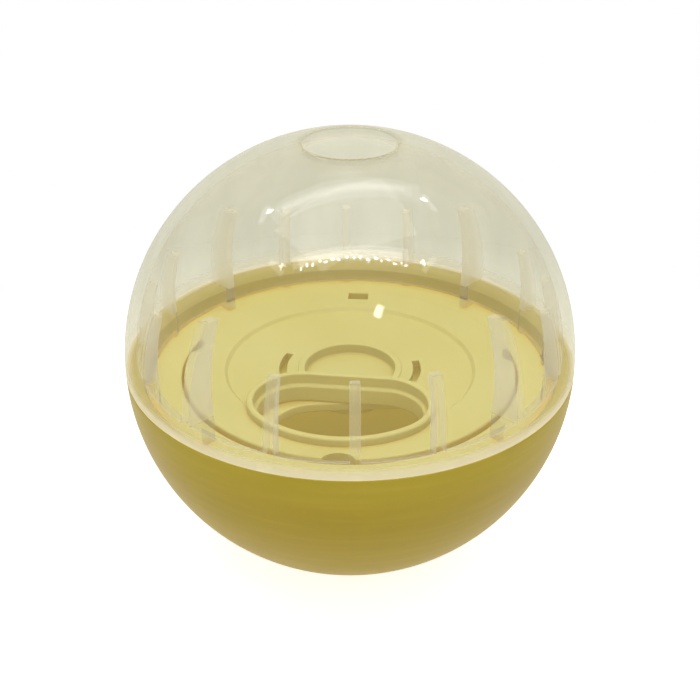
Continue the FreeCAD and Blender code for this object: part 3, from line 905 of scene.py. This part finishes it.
def thin_wall(nodes, place, haze, skin, normal, slant):
    """Clear wall that lets light straight through. It mirrors more where it slants, and more on
    the outside than on the inside. Only the outside tints, with smears on the way out."""
    mirrored = nodes.span(nodes.math("POWER", slant, 5.0), FULL, (0.04, 0.3))
    mirrored = nodes.math("MULTIPLY", mirrored, nodes.span(skin, FULL, (0.3, 1.0)))
    milky_roughness = nodes.span(haze, FULL, (0.05, 0.4))
    inside_roughness = nodes.span(skin, FULL, (0.28, 0.0))
    roughness = nodes.math("MAXIMUM", milky_roughness, inside_roughness)
    shine = nodes.add("ShaderNodeBsdfGlossy", {"Roughness": roughness, "Normal": normal})
    leaving = nodes.add("ShaderNodeNewGeometry").outputs["Backfacing"]
    smears = nodes.noise(nodes.stretched(place, 150.0, 150.0, 12.0))
    smeared = nodes.span(smears, (0.35, 0.68), FULL)
    exit_tint = nodes.mix_colour(smeared, SMEAR_DEEP, SMEAR_LIGHT)
    tint = nodes.mix_colour(leaving, ENTRY_TINT, exit_tint)
    tint = nodes.mix_colour(skin, WHITE, tint)
    passed = nodes.add("ShaderNodeBsdfTransparent", {"Color": tint}).outputs["BSDF"]
    return nodes.mix_shader(mirrored, passed, shine.outputs["BSDF"])


def bending_edge(nodes, normal):
    """Glass-like plastic for the outlet hole's upper edge."""
    inputs = {"Color": EDGE_TINT, "Roughness": 0.05, "IOR": PLASTIC_IOR, "Normal": normal}
    return nodes.add("ShaderNodeBsdfGlass", inputs).outputs["BSDF"]


def milk(nodes):
    """Cloud in the plastic, which scatters light back and through."""
    back = nodes.add("ShaderNodeBsdfDiffuse", {"Color": linear(MILK)}).outputs["BSDF"]
    through = nodes.add("ShaderNodeBsdfTranslucent", {"Color": linear(MILK)}).outputs["BSDF"]
    return nodes.add_shaders(back, through)


def make_clear_plastic():
    """Clear styrene of the upper half: a thin wall with faint waves and draw marks, milky by
    its stored haze and a little where it slants."""
    nodes = Nodes(bpy.data.materials.new("Clear_Plastic"))
    place = nodes.place()
    haze = nodes.stored("haze")
    skin = nodes.stored("skin")
    waves = nodes.noise(place, scale=70.0)
    draw_marks = nodes.noise(nodes.stretched(place, 500.0, 500.0, 50.0), detail=2.0)
    normal = nodes.bump(waves, strength=0.12, distance=0.0004)
    normal = nodes.bump(draw_marks, strength=0.03, distance=0.0001, normal=normal)
    weight = nodes.add("ShaderNodeLayerWeight", {"Blend": 0.5, "Normal": normal})
    slant = weight.outputs["Facing"]
    wall = thin_wall(nodes, place, haze, skin, normal, slant)
    body = nodes.mix_shader(nodes.stored("edge"), wall, bending_edge(nodes, normal))
    slanted = nodes.math("MULTIPLY", nodes.math("POWER", slant, 3.0), 0.15)
    cloudiness = nodes.math("ADD", nodes.span(haze, FULL, (0.03, 0.7)), slanted)
    milky = nodes.mix_shader(cloudiness, body, milk(nodes))
    # Light on its way to what lies inside passes the thin wall nearly unchanged
    path = nodes.add("ShaderNodeLightPath").outputs
    inside = nodes.math("MAXIMUM", path["Is Shadow Ray"], path["Is Diffuse Ray"])
    clear = nodes.add("ShaderNodeBsdfTransparent", {"Color": INSIDE_VEIL}).outputs["BSDF"]
    return nodes.surface(nodes.mix_shader(inside, milky, clear))


def make_floor_paper():
    """White paper that keeps a faint shadow near the ball and is plain white further out."""
    nodes = Nodes(bpy.data.materials.new("Floor_Paper"))
    place = nodes.place()
    fibres = nodes.noise(place, scale=900.0, detail=4.0)
    colour = nodes.mix_colour(fibres, PAPER_DARK, PAPER_LIGHT)
    paper = nodes.add("ShaderNodeBsdfDiffuse", {"Color": colour}).outputs["BSDF"]
    lift = nodes.add("ShaderNodeEmission", {"Strength": FLOOR_LIFT}).outputs["Emission"]
    near = nodes.add_shaders(paper, lift)
    white = nodes.add("ShaderNodeEmission", {"Strength": 1.0}).outputs["Emission"]
    distance = nodes.add("ShaderNodeVectorMath", {0: place}, operation="LENGTH").outputs["Value"]
    seen = nodes.mix_shader(nodes.span(distance, SHADOW_REACH, FULL), near, white)
    path = nodes.add("ShaderNodeLightPath").outputs
    return nodes.surface(nodes.mix_shader(nodes.looked_at(path), paper, seen))


# Surroundings, in millimetres and degrees
LAMP_HEIGHT = 400.0
BAR_TURN = 5.0

# Name, middle, length, depth and radiance of the softbox and of what makes up the light bars.
# These places and lengths, and those of the ends, row and spot, are shares of LAMP_HEIGHT
LIGHT_BARS = (
    ("Softbox", (-0.02, 0.04), 0.9, 0.64, 1.6),
    ("Rear_Bar", (-0.053, 0.372), 0.88, 0.06, 2.2),
    ("Rear_Glow", (-0.053, 0.37), 0.99, 0.13, 1.7),
    ("Rear_Veil", (-0.05, 0.365), 1.12, 0.24, 1.3),
    ("Front_Bar", (0.0, -0.29), 0.83, 0.06, 3.2),
    ("Front_Glow", (0.0, -0.28), 0.95, 0.12, 2.5),
)
BAR_ENDS = ((-0.60, 0.335), (0.535, 0.445), (-0.587, -0.305), (0.629, -0.256))
TAIL_REACH = 1.1
ROW_COUNT = 17
ROW_START = -0.411
ROW_LENGTH = 0.883
ROW_PLACE = -0.385
ROW_RISE = 0.041
ROW_ZIGZAG = 0.02
NEAR_SPOT = (0.31, -0.92)

CAMERA_LENS = 56.8
CAMERA_SENSOR = 36.0
CAMERA_DISTANCE = 190.0
CAMERA_ELEVATION = 29.5


def make_floor(material):
    """Plain floor that the ball's foot stands on."""
    reach = 3000.0
    mesh = bmesh.new()
    corners = ((-reach, -reach), (reach, -reach), (reach, reach), (-reach, reach))
    points = [Vector((x, y, FOOT_HEIGHT)) * MM for x, y in corners]
    mesh.faces.new([mesh.verts.new(point) for point in points])
    floor = make_object("Floor", mesh)
    floor.data.materials.append(material)


def make_world():
    """White surroundings for the eye, with a plain level of soft light. Reflections show them
    pale at the level of the ball and dimmer overhead, as in a room."""
    nodes = Nodes(bpy.data.worlds.new("Studio"), "ShaderNodeOutputWorld")
    path = nodes.add("ShaderNodeLightPath").outputs
    direction = nodes.add("ShaderNodeTexCoord").outputs["Generated"]
    rise = nodes.add("ShaderNodeSeparateXYZ", {0: direction}).outputs["Z"]
    dimmer = nodes.span(rise, (0.15, 0.7), (0.2, 0.7))
    level = nodes.math("SUBTRACT", 1.0, nodes.math("MULTIPLY", dimmer, path["Is Glossy Ray"]))
    soft = nodes.add("ShaderNodeBackground", {"Color": WHITE, "Strength": SOFT_LIGHT})
    plain = nodes.add("ShaderNodeBackground", {"Color": WHITE, "Strength": level})
    shader = nodes.mix_shader(
        nodes.looked_at(path), soft.outputs["Background"], plain.outputs["Background"]
    )
    bpy.context.scene.world = nodes.surface(shader)


def add_lamp(name, place, width, height, radiance, turn=0.0, mirrored=True):
    """Soft rectangular lamp that faces the ball. radiance is how bright its face is, and
    mirrored says if its shape shows as a highlight."""
    lamp = bpy.data.lights.new(name, "AREA")
    lamp.shape = "RECTANGLE"
    lamp.size = width * MM
    lamp.size_y = height * MM
    lamp.energy = radiance * math.pi * width * height * MM * MM
    made = bpy.data.objects.new(name, lamp)
    made.location = Vector(place) * MM
    facing = (-Vector(place)).to_track_quat("-Z", "Y").to_matrix().to_4x4()
    facing = facing @ Matrix.Rotation(math.radians(turn), 4, "Z")
    made.rotation_euler = facing.to_euler()
    made.visible_glossy = mirrored
    made.visible_transmission = False
    made.visible_camera = False
    bpy.context.scene.collection.objects.link(made)


def overhead(x, y):
    """Place at the lamps' height from two shares of it."""
    return (x * LAMP_HEIGHT, y * LAMP_HEIGHT, LAMP_HEIGHT)


def add_light_bars():
    """A softbox over the ball between two light bars, as they show in the photograph's
    highlights. Each bar has a soft glow round it, and beyond either end a small bright lamp
    with a dim tail. The one in front also has a row of bright dots."""
    for name, middle, length, depth, radiance in LIGHT_BARS:
        size = (length * LAMP_HEIGHT, depth * LAMP_HEIGHT)
        add_lamp(name, overhead(*middle), *size, radiance, BAR_TURN)
    for index, (x, y) in enumerate(BAR_ENDS):
        end = overhead(x, y)
        tail = overhead(TAIL_REACH * x, y)
        add_lamp("Bar_End_%d" % index, end, width=20, height=20, radiance=22.0)
        add_lamp("Bar_Tail_%d" % index, tail, width=80, height=22, radiance=2.5)
    for index in range(ROW_COUNT):
        share = index / (ROW_COUNT - 1)
        x = ROW_START + ROW_LENGTH * share
        y = ROW_PLACE + ROW_RISE * min(2 * share, 1.0) + ROW_ZIGZAG * (index % 2)
        dot = overhead(x, y)
        add_lamp("Row_Light_%02d" % index, dot, width=6, height=6, radiance=110.0)
    spot = overhead(*NEAR_SPOT)
    add_lamp("Near_Spot", spot, width=34, height=60, radiance=18.0, turn=-35.0)


def make_camera():
    """Camera of the photograph: in front of the ball and looking down at its centre."""
    data = bpy.data.cameras.new("Camera")
    data.lens = CAMERA_LENS
    data.sensor_width = CAMERA_SENSOR
    data.clip_start = 0.01
    camera = bpy.data.objects.new("Camera", data)
    elevation = math.radians(CAMERA_ELEVATION)
    direction = Vector((0.0, -math.cos(elevation), math.sin(elevation)))
    camera.location = direction * CAMERA_DISTANCE * MM
    camera.rotation_euler = (-direction).to_track_quat("-Z", "Y").to_euler()
    bpy.context.scene.collection.objects.link(camera)
    bpy.context.scene.camera = camera


def make_studio():
    """Everything round the ball: world, camera, floor and lamps."""
    make_world()
    make_camera()
    make_floor(make_floor_paper())
    front = (0, -420, 170)
    add_lamp("Front_Wall", front, width=420, height=240, radiance=0.6, mirrored=False)
    add_light_bars()
    bpy.context.scene.view_settings.view_transform = "Standard"


def make_ball():
    """All five pieces of the treat ball."""
    yellow = make_yellow_plastic()
    pale = make_pale_plastic()
    make_lower_shell(yellow)
    make_gate_plate(pale)
    make_dial_disc(pale)
    make_pivot_pin(pale)
    make_clear_dome(make_clear_plastic())


make_ball()
make_studio()
